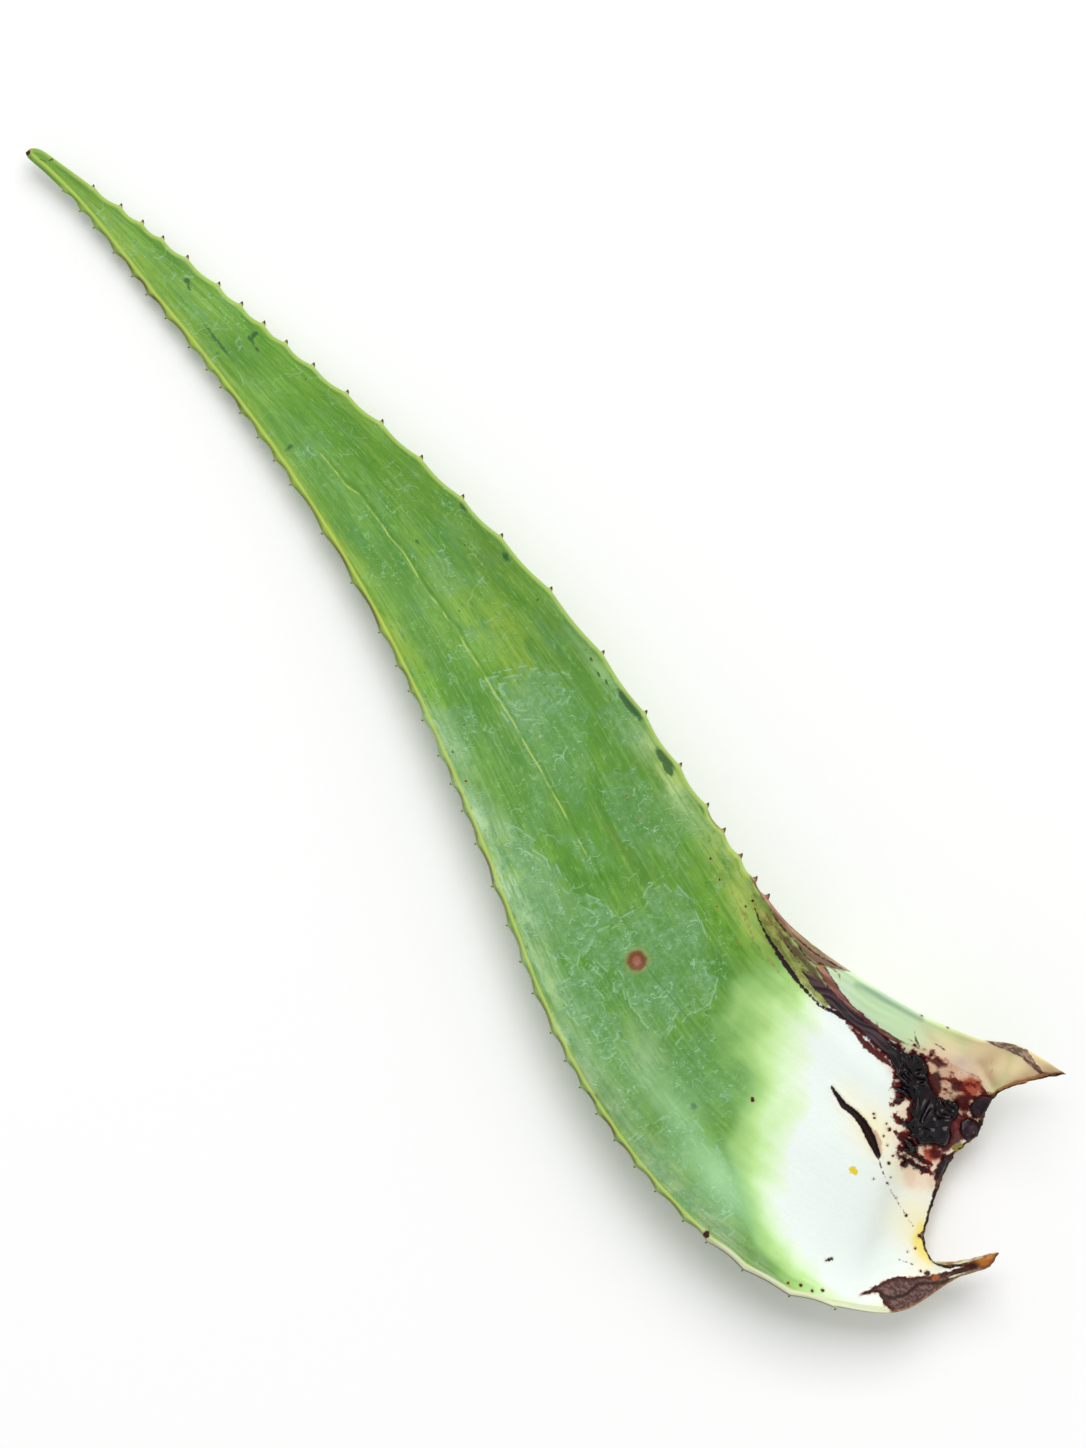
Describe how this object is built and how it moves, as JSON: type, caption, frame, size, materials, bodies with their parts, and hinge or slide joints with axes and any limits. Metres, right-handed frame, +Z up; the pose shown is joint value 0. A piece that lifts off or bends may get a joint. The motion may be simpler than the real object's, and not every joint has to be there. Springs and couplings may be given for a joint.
{
  "type": "aloe vera leaf",
  "caption": "Succulent leaf with toothed margins, torn at its base, lying hollow side up, with dried sap in its basal crease.",
  "frame": {"origin": "on the surface that the leaf lies on, under the middle of its length and breadth", "axes": "+Y from the torn base to the tip, +Z up out of the hollow face, +X towards the margin with the folded flap"},
  "size_m": [0.1404, 0.5156, 0.039],
  "materials": {
    "leaf_skin": "waxy green skin, cream white at the torn base",
    "dried_sap": "dark brown dried resin, partly glossy"
  },
  "bodies": {
    "root": {"leaf": "leaf_skin", "dried_sap": "dried_sap"}
  },
  "joints": []
}
